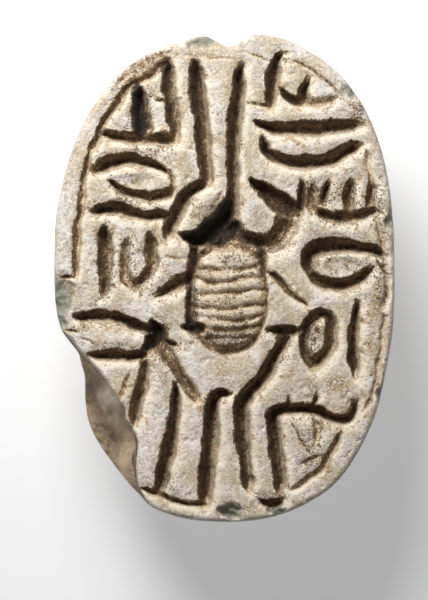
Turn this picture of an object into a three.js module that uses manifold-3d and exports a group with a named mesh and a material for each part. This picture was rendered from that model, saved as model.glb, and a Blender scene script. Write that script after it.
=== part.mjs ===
// A carved steatite scarab seal that lies on its beetle back, with the flat seal face up.
// Millimetres, +Z up, +Y towards the beetle's head, origin under the middle of the seal at its lowest level.
import * as THREE from 'three';
import { mergeVertices } from 'three/addons/utils/BufferGeometryUtils.js';
import Module from 'manifold-3d';

const wasm = await Module();
wasm.setup();

// The whole seal
const sealLength = 18.0;
const sealWidth = 12.6;
const sealHeight = 8.0;
const quarterExponents = [2.62, 2.33, 2.35, 2.4]; // anticlockwise from upper right; 2 is an ellipse
const quarterBlend = 20;        // degrees over which one quarter goes over into the next
const outlinePoints = 60;

// The plate that carries the seal face
const plateThickness = 2.0;
const faceEdgeWear = 0.2;       // rounding where the seal face meets the side
const plateLowerWear = 0.15;    // rounding where the side meets the underside

// The beetle under the plate
const legBandHeight = 1.5;      // the low band that the legs lie on
const legBandInset = 1.0;       // from the plate's side
const wingCaseInset = 0.42;     // from the plate's side
const backRings = 8;
const restLength = 5.0;         // worn flat spot that the seal lies on
const restWidth = 3.6;
const backLineSpacing = 0.9;    // between the points of a line that follows the dome
const backLineWidth = 0.34;
const backLineDepth = 0.22;
const steepestTilt = 1.2;       // most that a back cut leans outwards near the wing cases' steep edge
const headCutWidth = 1.1;
const headCutDepth = 0.55;
const legThickness = 1.1;
const legTopShare = 0.8;        // a leg's outer width against its root's

// The threading hole
const boreDiameter = 1.8;
const boreAboveBack = 0.4;      // from the wing cases' edge up to the hole's middle
const boreMouthFlare = 0.35;    // how much wider the worn mouth is, all round
const boreSides = 20;
const mouthNotchDepth = 0.4;    // where the mouth has worn through the face's edge at the head
const mouthNotchWidth = 1.8;
const notchSides = 24;

// The carving of the seal face
const deepCut = 0.5;
const middleCut = 0.38;
const shallowCut = 0.22;
const broadStroke = 0.6;
const plainStroke = 0.5;
const fineStroke = 0.26;
const hairStroke = 0.2;
const grooveFloorShare = 0.45;  // the floor's width against the width at the surface
const strokeEndShare = 0.35;    // a stroke's end against its middle, in width and depth
const strokeEndRun = 0.3;       // length over which a stroke runs out
const longestEndRun = 0.4;      // and the most that this may be of a short stroke's length
const cutterProud = 0.1;        // how far a cutting solid stands out of the surface
const hollowSides = 14;
const hollowFlare = 1.1;        // a hollow's cutting solid above the surface against its size at it
const bodyRingPoints = 28;
const closestCorners = 0.008;   // corners of the carved solid nearer than this become one

// The break at the lower left
const breakDepth = 2.6;         // how far down the missing flake reaches
const breakSlope = 0.55;        // how far its lower edge lies outside its upper one
const breakReach = 2.5;         // how far the cutting solid runs past the outline

const halfWidth = sealWidth / 2;
const halfLength = sealLength / 2;
const plateUnderside = sealHeight - plateThickness;
const backLevel = plateUnderside - legBandHeight;
const boreLevel = backLevel + boreAboveBack;
const up = new THREE.Vector3(0, 0, 1);

// The seal face's carving, in percent of its half width and half length from its middle.
// The frame line runs inside the rim, and is worn away in places.
const frameLines = [
  [[-33, 90], [-60, 77], [-75, 60], [-83, 43], [-88, 20], [-89, 2]],
  [[39, 90], [56, 83], [77, 70]],
  [[83, 53], [88, 26], [94, 2], [92, -21], [88, -42], [82, -53]],
  [[68, -63], [56, -77], [38, -86]],
  [[-49, -86], [-23, -91], [-11, -91]],
];

// The beetle figure in the middle: feelers, front legs, wing line, hind legs.
const figureLimbs = [
  [[-18, 89], [-16, 75], [-13, 57], [-10, 41]],
  [[9, 88], [5, 69], [3, 51], [4, 36], [3, 22]],
  [[-16, 40], [-26, 32], [-32, 24], [-35, 19]],
  [[-16, 17], [-18, 0]],
  [[-18, 2], [-33, -3], [-42, -7]],
  [[-41, -24], [-31, -34], [-27, -44], [-29, -58], [-33, -72], [-40, -87]],
  [[2, -47], [-6, -49], [-8, -62], [-12, -90]],
  [[39, -22], [30, -30], [20, -42], [10, -51], [9, -64], [12, -87]],
  [[77, -50], [70, -57], [54, -54], [28, -55], [29, -70], [32, -87]],
];

// Strokes of the side fields: bars, uprights and bows, none of them a sign.
const fieldStrokes = [
  [[-34, 90], [-33, 75], [-29, 58]],
  [[-49, 77], [-46, 58]],
  [[-70, 60], [-29, 58]],
  [[-76, 46], [-53, 49], [-32, 44]],
  [[-72, 40], [-50, 33], [-32, 37]],
  [[-78, 28], [-66, 30], [-44, 26], [-33, 27]],
  [[-72, 21], [-71, 4], [-73, -8]],
  [[-58, 16], [-61, 4], [-51, -2], [-44, 6], [-45, 19]],
  [[-85, -16], [-67, -16], [-48, -21]],
  [[-83, -31], [-46, -31]],
  [[-48, -33], [-51, -46], [-54, -60]],
  [[33, 93], [28, 82], [27, 72]],
  [[34, 77], [46, 71]],
  [[49, 81], [46, 73]],
  [[18, 64], [36, 61], [77, 64]],
  [[23, 57], [33, 50], [51, 48], [79, 54]],
  [[16, 41], [28, 33], [40, 27]],
  [[44, 41], [42, 26]],
  [[60, 39], [55, 27]],
  [[55, 25], [87, 27]],
  [[73, 41], [71, 29]],
  [[82, 39], [83, 30]],
  [[26, 2], [38, -5], [48, -10]],
  [[50, 1], [50, 9], [60, 14], [80, 13], [96, 9]],
  [[50, 1], [65, -3], [86, 4]],
  [[56, -13], [49, -19], [47, -34]],
  [[56, -13], [63, -18], [58, -32]],
  [[77, -8], [74, -22], [74, -40]],
];

// Small nicks between the strokes.
const fineNicks = [
  [[13, 73], [27, 73]],
  [[51, 75], [62, 75]],
  [[37, -47], [38, -53]],
  [[54, -46], [51, -52]],
  [[52, -59], [48, -71]],
];

// Round and oval hollows: middle x and y, half sizes, all in percent as above.
const hollows = [
  [-9, 21, 9, 6],
  [19, 16, 11, 4],
  [41, 30, 6, 4],
  [-41, -22, 4, 5],
  [-17, -21, 5, 3],
];

// The figure's striped oval body.
const stripedBody = { x: 2.5, y: -7.5, halfX: 20, halfY: 22 };
const stripeLevels = [5, 0, -5, -10, -15, -20, -25];
const stripeReach = 0.85;       // a stripe's length against the body's width at its level
const stripeSpread = 1.1;       // height of the oval that the stripes' ends follow, against the body's
const stripeBow = [1, -1, 2];   // rise of a stripe's left end, middle and right end, in percent

// The upper edge of the break, from the left rim down to the tail end.
const breakEdge = [[-97, -21], [-79, -36], [-66, -47], [-58, -57], [-53, -66], [-51, -87], [-44, -100]];

// The squared oval's exponent at a turn: each quarter's own, blended where two quarters meet.
function exponentAt(turn) {
  const degrees = THREE.MathUtils.euclideanModulo(THREE.MathUtils.radToDeg(turn), 360);
  const quarter = Math.floor(degrees / 90);
  const into = degrees - quarter * 90;
  const half = quarterBlend / 2;
  const own = quarterExponents[quarter];
  const before = quarterExponents[(quarter + 3) % 4];
  const after = quarterExponents[(quarter + 1) % 4];
  const fromBefore = 1 - THREE.MathUtils.smoothstep(into, -half, half);
  const toAfter = THREE.MathUtils.smoothstep(into, 90 - half, 90 + half);
  return own + (before - own) * fromBefore + (after - own) * toAfter;
}

// How far a unit squared oval reaches at a turn around its middle.
function outlineReach(turn) {
  const n = exponentAt(turn);
  return (Math.abs(Math.cos(turn)) ** n + Math.abs(Math.sin(turn)) ** n) ** (-1 / n);
}

function outlinePoint(turn, halfX, halfY, level) {
  const reach = outlineReach(turn);
  return new THREE.Vector3(Math.cos(turn) * reach * halfX, Math.sin(turn) * reach * halfY, level);
}

function outlineRing(halfX, halfY, level, points = outlinePoints) {
  const ring = [];
  for (let i = 0; i < points; i += 1) {
    ring.push(outlinePoint((i / points) * 2 * Math.PI, halfX, halfY, level));
  }
  return ring;
}

// A closed skin over rings of equal point counts, with a flat fan at both ends.
// Seen from the first ring's outer side, its points run anticlockwise.
function skinRings(rings) {
  const count = rings[0].length;
  const points = rings.flat();
  const faces = [];
  for (let r = 0; r + 1 < rings.length; r += 1) {
    for (let i = 0; i < count; i += 1) {
      const a = r * count + i;
      const b = r * count + ((i + 1) % count);
      faces.push(a, a + count, b, b, a + count, b + count);
    }
  }
  const lastStart = (rings.length - 1) * count;
  const firstMiddle = points.length;
  points.push(middleOf(rings[0]), middleOf(rings[rings.length - 1]));
  for (let i = 0; i < count; i += 1) {
    const next = (i + 1) % count;
    faces.push(firstMiddle, i, next);
    faces.push(firstMiddle + 1, lastStart + next, lastStart + i);
  }
  const geometry = new THREE.BufferGeometry();
  geometry.setAttribute('position', new THREE.Float32BufferAttribute(points.flatMap((p) => p.toArray()), 3));
  geometry.setIndex(faces);
  return geometry;
}

function middleOf(ring) {
  const middle = new THREE.Vector3();
  ring.forEach((point) => middle.add(point));
  return middle.divideScalar(ring.length);
}

function toSolid(geometry) {
  const bare = geometry.clone();
  bare.deleteAttribute('normal');
  bare.deleteAttribute('uv');
  const merged = mergeVertices(bare);
  return new wasm.Manifold(new wasm.Mesh({
    numProp: 3,
    vertProperties: merged.attributes.position.array,
    triVerts: new Uint32Array(merged.index.array),
  }));
}

function toGeometry(solid) {
  const mesh = solid.getMesh();
  const geometry = new THREE.BufferGeometry();
  geometry.setAttribute('position', new THREE.BufferAttribute(new Float32Array(mesh.vertProperties), 3));
  geometry.setIndex(new THREE.BufferAttribute(new Uint32Array(mesh.triVerts), 1));
  geometry.computeVertexNormals();
  return geometry;
}

// Half sizes of the beetle's back at a share of its depth, 0 at the wing cases' edge and 1 at the rest.
function backHalfSizes(share) {
  const bulge = Math.sqrt(Math.max(0, 1 - share * share));
  const edgeX = halfWidth - wingCaseInset;
  const edgeY = halfLength - wingCaseInset;
  return {
    x: restWidth / 2 + (edgeX - restWidth / 2) * bulge,
    y: restLength / 2 + (edgeY - restLength / 2) * bulge,
  };
}

// Level of the back's surface over a plan point, found by halving the range of depth shares.
function backSurface(x, y) {
  let low = 0;
  let high = 1;
  for (let step = 0; step < 24; step += 1) {
    const share = (low + high) / 2;
    const half = backHalfSizes(share);
    const turn = Math.atan2(y / half.y, x / half.x);
    if (Math.hypot(x / half.x, y / half.y) < outlineReach(turn)) {
      low = share;
    } else {
      high = share;
    }
  }
  return backLevel * (1 - low);
}

// Plate, leg band and domed back as one skin, from the seal face down to the rest.
function sealBody() {
  const plan = (inset, level) => outlineRing(halfWidth - inset, halfLength - inset, level);
  const rings = [
    plan(faceEdgeWear, sealHeight),
    plan(faceEdgeWear * 0.3, sealHeight - faceEdgeWear * 0.3),
    plan(0, sealHeight - faceEdgeWear),
    plan(0, plateUnderside + plateLowerWear),
    plan(plateLowerWear, plateUnderside),
    plan(legBandInset, plateUnderside - plateLowerWear),
    plan(legBandInset, backLevel + plateLowerWear),
    plan(wingCaseInset + plateLowerWear, backLevel + plateLowerWear / 2),
  ];
  for (let i = 0; i <= backRings; i += 1) {
    const share = Math.sin((i / backRings) * Math.PI / 2);
    const half = backHalfSizes(share);
    rings.push(outlineRing(half.x, half.y, backLevel * (1 - share)));
  }
  return toSolid(skinRings(rings));
}

// A groove's cutting solid: a trapezoid carried along path points, each with its outward normal.
function grooveCutter(frames, width, depth) {
  const last = frames.length - 1;
  const rings = frames.map((frame, i) => {
    const before = frames[Math.max(0, i - 1)].point;
    const after = frames[Math.min(last, i + 1)].point;
    const along = new THREE.Vector3().subVectors(after, before).normalize();
    const right = new THREE.Vector3().crossVectors(along, frame.normal).normalize();
    const size = i === 0 || i === last ? strokeEndShare : 1;
    const floorHalf = (width / 2) * grooveFloorShare * size;
    const spread = (width / 2) * size - floorHalf;
    const topHalf = floorHalf + spread * (1 + cutterProud / (depth * size));
    const corner = (side, rise) => frame.point.clone()
      .addScaledVector(right, side)
      .addScaledVector(frame.normal, rise);
    return [
      corner(topHalf, cutterProud),
      corner(-topHalf, cutterProud),
      corner(-floorHalf, -depth * size),
      corner(floorHalf, -depth * size),
    ];
  });
  return toSolid(skinRings(rings));
}

function facePoint([x, y], level = sealHeight) {
  return new THREE.Vector3((x / 100) * halfWidth, (y / 100) * halfLength, level);
}

// A smooth path through a few points, with a short step at both ends for the stroke to run out.
function smoothPath(points, longestStep = Infinity) {
  const curve = new THREE.CatmullRomCurve3(points, false, 'centripetal');
  const bends = points.length === 2 ? 1 : (points.length - 1) * 2;
  const steps = Math.max(bends, Math.ceil(curve.getLength() / longestStep));
  const run = Math.min(strokeEndRun / curve.getLength(), longestEndRun);
  const path = [curve.getPointAt(0)];
  for (let i = 0; i <= steps; i += 1) {
    path.push(curve.getPointAt(run + (1 - 2 * run) * (i / steps)));
  }
  path.push(curve.getPointAt(1));
  return path;
}

function faceStroke(stroke, width, depth) {
  const path = smoothPath(stroke.map((point) => facePoint(point)));
  return grooveCutter(path.map((point) => ({ point, normal: up })), width, depth);
}

// A groove on the back: the path is in plan, and follows the domed surface.
function backStroke(points, width, depth) {
  const probe = 0.05;
  const plan = points.map(([x, y]) => new THREE.Vector3(x * halfWidth, y * halfLength, 0));
  const path = smoothPath(plan, backLineSpacing);
  const frames = path.map(({ x, y }) => {
    const slopeX = (backSurface(x + probe, y) - backSurface(x - probe, y)) / (2 * probe);
    const slopeY = (backSurface(x, y + probe) - backSurface(x, y - probe)) / (2 * probe);
    return {
      point: new THREE.Vector3(x, y, backSurface(x, y)),
      normal: new THREE.Vector3(slopeX, slopeY, 0).clampLength(0, steepestTilt).setZ(-1).normalize(),
    };
  });
  return grooveCutter(frames, width, depth);
}

// An oval hollow with sloping sides.
function hollowCutter([x, y, halfX, halfY], depth) {
  const middle = facePoint([x, y]);
  const ring = (share, level) => outlineRing(
    (halfX / 100) * halfWidth * share,
    (halfY / 100) * halfLength * share,
    level,
    hollowSides,
  ).map((point) => point.add(new THREE.Vector3(middle.x, middle.y, 0)));
  return toSolid(skinRings([
    ring(hollowFlare, sealHeight + cutterProud),
    ring(1, sealHeight),
    ring(grooveFloorShare, sealHeight - depth),
  ]));
}

// The groove round the figure's striped body, and the stripes across it, bowed downwards.
function stripedBodyCutters() {
  const { x, y, halfX, halfY } = stripedBody;
  const round = [];
  for (let i = 0; i <= bodyRingPoints; i += 1) {
    const turn = (i / bodyRingPoints) * 2 * Math.PI + Math.PI / 2;
    round.push({ point: facePoint([x + halfX * Math.cos(turn), y + halfY * Math.sin(turn)]), normal: up });
  }
  const stripes = stripeLevels.map((level) => {
    const reach = halfX * stripeReach * Math.sqrt(1 - ((level - y) / (halfY * stripeSpread)) ** 2);
    const stripe = stripeBow.map((rise, i) => [x + (i - 1) * reach, level + rise]);
    return faceStroke(stripe, fineStroke, shallowCut);
  });
  return [grooveCutter(round, plainStroke, middleCut), ...stripes];
}

// The flake missing at the lower left: it slopes outwards as it goes down.
function breakCutter() {
  const edge = breakEdge.map((point) => facePoint(point));
  const outward = edge.map((point) => new THREE.Vector3(point.x, point.y, 0).normalize());
  const outer = edge.map((point, i) => point.clone().addScaledVector(outward[i], breakReach));
  const ring = (slide, rise) => {
    const inner = edge.map((point, i) => point.clone().addScaledVector(outward[i], slide)).reverse();
    return [...outer, ...inner].map((point) => point.clone().setZ(sealHeight + rise));
  };
  return toSolid(skinRings([ring(0, cutterProud), ring(0, 0), ring(breakSlope, -breakDepth)]));
}

// The hole from head to tail, a little wider where a cord has worn its mouths.
function boreCutter() {
  const radius = boreDiameter / 2;
  const end = halfLength + cutterProud;
  const inner = halfLength - wingCaseInset - 2 * boreMouthFlare;
  const profile = [[0, -end], [radius + boreMouthFlare, -end], [radius, -inner], [radius, inner],
    [radius + boreMouthFlare, end], [0, end]];
  const geometry = new THREE.LatheGeometry(profile.map(([r, h]) => new THREE.Vector2(r, h)), boreSides);
  geometry.translate(0, 0, -boreLevel);
  geometry.rotateX(Math.PI);
  return toSolid(geometry);
}

// The notch in the face's edge over the hole's mouth at the head.
function notchCutter() {
  const halfNotch = mouthNotchWidth / 2;
  const radius = (halfNotch ** 2 + mouthNotchDepth ** 2) / (2 * mouthNotchDepth);
  const height = plateThickness + 2 * cutterProud;
  const geometry = new THREE.CylinderGeometry(radius, radius, height, notchSides);
  geometry.rotateX(Math.PI / 2);
  geometry.translate(0, halfLength + radius - mouthNotchDepth, sealHeight + cutterProud - height / 2);
  return toSolid(geometry);
}

// Lines of the beetle's back, in shares of the half width and half length.
function backCutters() {
  const lines = [
    [[-0.9, 0.3], [0, 0.2], [0.9, 0.3]],
    [[0, 0.18], [0, -0.9]],
    [[-0.8, 0.22], [-0.62, 0.06]],
    [[0.8, 0.22], [0.62, 0.06]],
  ];
  const headCuts = [
    [[-0.8, 0.66], [0, 0.6], [0.8, 0.66]],
    [[-0.6, 0.67], [-0.46, 0.99]],
    [[0.6, 0.67], [0.46, 0.99]],
  ];
  return [
    ...lines.map((line) => backStroke(line, backLineWidth, backLineDepth)),
    ...headCuts.map((cut) => backStroke(cut, headCutWidth, headCutDepth)),
  ];
}

// One leg on the band, as a bar from the plate down into the wing cases' edge, between two turns.
function legBar(fromTurn, toTurn) {
  const steps = 5;
  const rings = [];
  const inset = legBandInset + legThickness / 2;
  for (let i = 0; i <= steps; i += 1) {
    const share = i / steps;
    const turn = THREE.MathUtils.degToRad(fromTurn + (toTurn - fromTurn) * share);
    const level = THREE.MathUtils.lerp(plateUnderside + plateLowerWear, backLevel, share);
    const middle = outlinePoint(turn, halfWidth - inset, halfLength - inset, level);
    const out = new THREE.Vector3(Math.cos(turn), Math.sin(turn), 0);
    const side = new THREE.Vector3(-out.y, out.x, 0);
    const reach = legThickness / 2 + legBandInset - wingCaseInset;
    rings.push([[-1, 0], [-legTopShare, 1], [legTopShare, 1], [1, 0]].map(([s, o]) => middle.clone()
      .addScaledVector(side, (s * legThickness) / 2)
      .addScaledVector(out, o * reach)));
  }
  return toSolid(skinRings(rings));
}

function legBars() {
  const pairs = [[38, 62], [8, 28], [-20, -44], [-66, -48]];
  const halfTurn = 180;
  return pairs.flatMap(([from, to]) => [legBar(from, to), legBar(halfTurn - from, halfTurn - to)]);
}

function carvedSeal() {
  const cutters = [
    ...frameLines.map((stroke) => faceStroke(stroke, hairStroke, shallowCut)),
    ...figureLimbs.map((stroke) => faceStroke(stroke, broadStroke, deepCut)),
    ...fieldStrokes.map((stroke) => faceStroke(stroke, plainStroke, middleCut)),
    ...fineNicks.map((stroke) => faceStroke(stroke, fineStroke, shallowCut)),
    ...hollows.map((hollow) => hollowCutter(hollow, deepCut)),
    ...stripedBodyCutters(),
    ...backCutters(),
    boreCutter(),
    notchCutter(),
    breakCutter(),
  ];
  const body = legBars().reduce((sum, leg) => sum.add(leg), sealBody());
  return cutters.reduce((rest, cutter) => rest.subtract(cutter), body).simplify(closestCorners);
}

const steatite = new THREE.MeshStandardMaterial({ color: '#c4b8a4', roughness: 0.7, metalness: 0 });
const scarabSeal = new THREE.Mesh(toGeometry(carvedSeal()), steatite);
scarabSeal.name = 'scarab_seal';

const seal = new THREE.Group();
seal.add(scarabSeal);

export default seal;
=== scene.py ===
import itertools
import math

import bpy
import numpy as np
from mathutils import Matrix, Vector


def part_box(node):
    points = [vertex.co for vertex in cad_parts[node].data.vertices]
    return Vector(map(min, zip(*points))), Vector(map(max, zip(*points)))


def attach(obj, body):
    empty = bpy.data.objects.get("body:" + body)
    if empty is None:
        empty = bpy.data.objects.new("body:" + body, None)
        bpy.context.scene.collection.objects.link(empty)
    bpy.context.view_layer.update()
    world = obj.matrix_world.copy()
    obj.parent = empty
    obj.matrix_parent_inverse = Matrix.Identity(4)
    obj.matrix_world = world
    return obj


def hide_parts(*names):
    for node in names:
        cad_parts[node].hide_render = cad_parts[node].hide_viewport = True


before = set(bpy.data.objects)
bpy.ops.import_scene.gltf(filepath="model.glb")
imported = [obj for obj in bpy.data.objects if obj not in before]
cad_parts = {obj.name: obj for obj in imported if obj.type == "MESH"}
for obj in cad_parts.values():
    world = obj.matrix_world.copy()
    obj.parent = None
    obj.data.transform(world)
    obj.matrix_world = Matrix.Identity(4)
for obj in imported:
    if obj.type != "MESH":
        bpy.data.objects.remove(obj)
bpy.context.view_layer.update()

# Lengths below are in millimetres, of 0.001 scene units each. x runs to the right over the seal face, y
# towards the beetle's head and z up out of the face. Places on the face are in percent of its half width
# and half length, so that the carving keeps its layout on the plate.
mm = 0.001
lowCorner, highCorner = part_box("scarab_seal")
halfWidth = (highCorner.x - lowCorner.x) / 2 / mm
halfLength = -lowCorner.y / mm
sealHeight = highCorner.z / mm
print("frame: seal %.2f x %.2f x %.2f mm" % (2 * halfWidth, 2 * halfLength, sealHeight))

# The plate's outline: a squared oval with an exponent for each quarter, from the upper right round
# anticlockwise, then its small swellings as middle and width in degrees, and height in mm.
outline = {
    "exponents": (2.62, 2.33, 2.35, 2.4),
    "blend": 10,  # degrees on both sides of an axis over which two exponents mix
    "swellings": [(72, 7, 0.12), (80, 4, 0.1), (97, 4, 0.1), (108, 8, -0.05), (165, 6, 0.05),
                  (308, 7, 0.07), (338, 7, -0.06)],
    "swellingPower": 6,  # how fast the swellings die away from the rim to the middle
    "notch": (88.5, 5.5, 0.40),  # where the threading hole's mouth has worn through the edge
}

# The body below the face. Levels are above the rest, insets are in from the outline.
body = {
    "faceEdge": 0.24,  # worn rounding of the face's edge
    "underside": 6.0,
    "thinnest": 0.12,  # least thickness of the plate's edge
    "plateRows": 9,
    "plateBulge": 0.05,
    "underRows": [(0.16, 6.0), (0.6, 5.95), (0.92, 5.9)],  # inset and level
    "underDrop": (0.05, 0.04),
    "bandTop": 5.86,
    "bandInset": 1.0,
    "bandBottom": 4.66,
    "bandRows": 9,
    "bandDrop": (0.15, 0.05),
    "caseRows": [(0.8, 4.56), (0.55, 4.53)],
    "caseRelief": 0.1,
    "details": (0.3, 0.4, 0.3, 0.2),  # swellings lost down the plate, left under it, in the band, at the back
    "backLevel": 4.5,
    "backInset": 0.42,
    "restHalfWidth": 1.8,
    "restHalfLength": 2.5,
    "restSpread": 1.04,
    "restShare": 0.3,  # share of the back's grid that lies on the flat spot
    "legs": [(38, 62), (8, 28), (-20, -44), (-66, -48)],  # turn at the band's top and bottom
    "legHalfWidth": 4.2,  # degrees of turn
    "legSoft": (-1.2, 1.6),
    "legRelief": 0.62,
}

# Lines on the beetle's back: points in shares of the half width and length, width and depth.
backLines = [
    ([(-0.9, 0.3), (0, 0.2), (0.9, 0.3)], 0.34, 0.2),
    ([(0, 0.19), (0, -0.9)], 0.3, 0.2),
    ([(0.05, 0.16), (0.05, -0.86)], 0.2, 0.1),
    ([(-0.8, 0.22), (-0.62, 0.06)], 0.3, 0.18),
    ([(0.8, 0.22), (0.62, 0.06)], 0.3, 0.18),
    ([(-0.8, 0.66), (0, 0.6), (0.8, 0.66)], 1.0, 0.5),
    ([(-0.6, 0.67), (-0.46, 0.99)], 1.0, 0.5),
    ([(0.6, 0.67), (0.46, 0.99)], 1.0, 0.5),
    ([(-0.2, 0.74), (-0.16, 0.93)], 0.3, 0.15),
    ([(0.2, 0.74), (0.16, 0.93)], 0.3, 0.15),
]

# The threading hole, lengthwise through the seal, with a flared mouth at both ends.
threadHole = {
    "radius": 0.9,
    "level": 4.9,
    "flare": 0.42,
    "flareRun": 1.1,
    "endRoom": 0.6,  # how far the cutting tube sticks out
    "sides": 72,
    "rings": 60,
}

# Random fields over the stone: strength, width of the largest marks in mm, seed, and layers where not 3.
fields = {
    "wobbleX": (0.06, 0.5, 11),
    "wobbleY": (0.06, 0.5, 23),
    "stripeWear": (1.0, 1.1, 401),
    "rough": (1.0, 0.5, 41),
    "breakEdge": (0.06, 0.45, 57),
    "waves": (0.04, 1.9, 5),
    "ripples": (0.012, 0.25, 77),
    "pits": (1.0, 0.2, 91),
    "slope": (0.07, 0.6, 161),
    "backWaves": (0.05, 2.5, 131),
    "backGrit": (0.02, 0.6, 137),
    "hole": (0.03, 0.8, 211, 1),
    "paintEdge": (0.14, 0.6, 311),
}

# The worn skin of the face.
skin = {
    "below": 0.03,  # how far the plain face lies under the solid's
    "highest": 0.03,  # upper limit of the waves
    "pitDepth": 0.06,
    "pitRange": (0.7, 1.1),
    "raggedRim": 0.2,  # of the chips and of the ledge in the break
    "raggedDepth": 0.25,
}

# The carving: paths in percent, with the width, or widths along the path, the depth, and how much soil
# has stayed in it where it isn't full, with shares above 1 darkening the deep floors as painted shade.
carving = {
    "wallRun": 0.24,  # how far a groove's wall leans
    "wallLimit": 0.48,  # and at most, in shares of the groove's width
    "wallReach": (-0.25, 0.9, 0.5),  # start, end and end of its soil, in shares of that run
    "shoulderRun": 0.42,  # worn rounding along both edges of a groove
    "shoulderDrop": 0.1,
    "strongDepth": 0.4,  # grooves from this depth on have all of that rounding
    "crossing": 0.35,  # what the shallower cut adds where a groove crosses a hollow
    "shift": (0.06, -0.06),  # the whole layout against the plate
    "endRun": 0.24,
    "endShare": 0.62,
    "shadeLean": (-0.3, 0.28),  # soil and painted shade lie against the upper left walls, where the key light's shadow falls, in shares of a groove's width
    "highlightShift": (0.07, -0.07),  # and bare walls show at the lower right as painted highlight
    "soilHalo": 0.24,  # how far the soil's crumbs are strewn beside a groove
    "haloShare": 0.24,
}

frameLines = [
    ([(-33, 91), (-44, 85), (-56, 80), (-64.5, 72), (-72, 64), (-79, 52)], 0.3, 0.26, 0.9),
    ([(-79, 52), (-82.6, 43), (-85.4, 30), (-87.2, 20), (-88, 9), (-87.6, 1)], 0.27, 0.26, 0.86),
    ([(39, 90), (52, 86), (62, 80.5), (70, 73.5), (77, 70)], 0.16, 0.12, 0.6),
    ([(83, 53), (86, 38), (88, 26), (92.5, 14), (94.5, 2), (93, -12)], 0.22, 0.2, 0.6),
    ([(93, -12), (91, -28), (88, -42), (85, -50), (82, -54)], 0.2, 0.13, 0.6),
    ([(68, -63), (61, -72), (56, -77), (47, -82), (38, -86)], (0.36, 0.28, 0.24), 0.24, 0.8),
    ([(-49, -86), (-36, -89), (-23, -92), (-11, -93)], (0.24, 0.28, 0.3), 0.3, 0.95),
    ([(20, -90), (27, -92.5), (34, -90)], (0.2, 0.42, 0.2), 0.34),
    ([(-64, 80), (-50, 86.5), (-33, 93)], (0.4, 0.84, 0.6), 0.1, 0.6),
]

figureLimbs = [
    ([(-17, 89), (-16.2, 80), (-14.5, 68), (-12.6, 57), (-11.5, 48), (-10.3, 39.5)],
     (0.46, 0.58, 0.56, 0.48, 0.38), 0.75),
    ([(9, 88), (7.4, 74), (5.6, 62), (4.2, 49), (4.8, 36), (4.2, 24)], (0.3, 0.52, 0.5, 0.44, 0.46), 0.8),
    ([(-11, 40.5), (-20.5, 36), (-26, 31), (-30.5, 24.5), (-34, 17.5)], (0.34, 0.46, 0.5, 0.46), 0.62),
    ([(4.4, 34), (1, 27.5), (-6, 21), (-14.5, 16.5), (-24, 17.5)],
     (0.26, 0.56, 0.8, 0.76, 0.34), 0.85, 1.5),
    ([(4.5, 25), (3.5, 18.5), (-3, 14)], (0.6, 1.1, 0.8), 0.8, 1.4),
    ([(3.8, 19), (11, 17), (18, 16), (25, 15.4)], (0.5, 0.6, 0.66, 0.4), 0.7),
    ([(19, 15.8), (28, 15.8), (34.5, 19.4), (39, 26)], (0.5, 0.84, 0.84, 0.6), 0.55, 0.84),
    # A shallow groove with thin soil on the left lobe's lower right: painted shade of the rounded lobe.
    ([(-2, 37), (-6, 30), (-12, 24)], (0.2, 0.5, 0.4), 0.1, 0.5),
    ([(27, 32), (31, 26), (29, 21)], (0.2, 0.36, 0.3), 0.12, 0.5),
    ([(-17, 15), (-17.5, 9), (-20, 1.5)], (0.44, 0.54, 0.46), 0.62),
    ([(-19.5, 4), (-21, -6), (-21.5, -15), (-19.5, -22)], (0.4, 0.28, 0.3, 0.46), 0.36, 1.15),
    ([(20, 14.5), (22.6, 8), (23.6, 1.5)], (0.34, 0.28, 0.2), 0.34, 1.1),
    ([(-18, 2), (-28, -1.5), (-41.5, -6.8)], (0.54, 0.46, 0.2), 0.5, 0.9),
    ([(-42, -18), (-40.5, -21), (-40, -25), (-45, -30)], (0.4, 0.66, 0.72, 0.5), 0.62, 1.35),
    ([(-39, -25), (-31, -34), (-23, -42.5), (-15, -50)], (0.6, 0.5, 0.52, 0.4), 0.36, 0.86),
    ([(-39, -25), (-28, -27.5)], (0.4, 0.2), 0.4),
    ([(-29.7, -42.5), (-29, -50), (-30.5, -60), (-33, -70), (-37, -80.5), (-40, -88)],
     (0.24, 0.4, 0.48, 0.5, 0.34), 0.72),
    ([(3, -46.6), (-4, -46.6), (-7.5, -51), (-8.2, -62), (-9.4, -72), (-10.6, -82), (-12, -92)],
     (0.28, 0.44, 0.56, 0.56, 0.56, 0.48), 0.78),
    ([(26, -20), (33, -21.4), (43, -20.6)], (0.3, 0.46, 0.34), 0.5),
    ([(38.5, -21.8), (34.4, -25), (30.3, -30), (25, -37.4), (20, -42), (14.4, -46.4), (10.2, -50.5),
      (9.6, -57), (10.2, -66), (11.8, -74), (13, -86)], (0.34, 0.46, 0.5, 0.54, 0.52, 0.4), 0.75),
    ([(77, -50.5), (76, -54), (71, -57.5), (62, -56.5), (53, -54), (40, -53.5), (29, -55), (29, -62),
      (30, -70), (32, -80), (32.5, -88)], (0.24, 0.4, 0.44, 0.42, 0.48, 0.5, 0.46, 0.36), 0.7),
]

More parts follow.
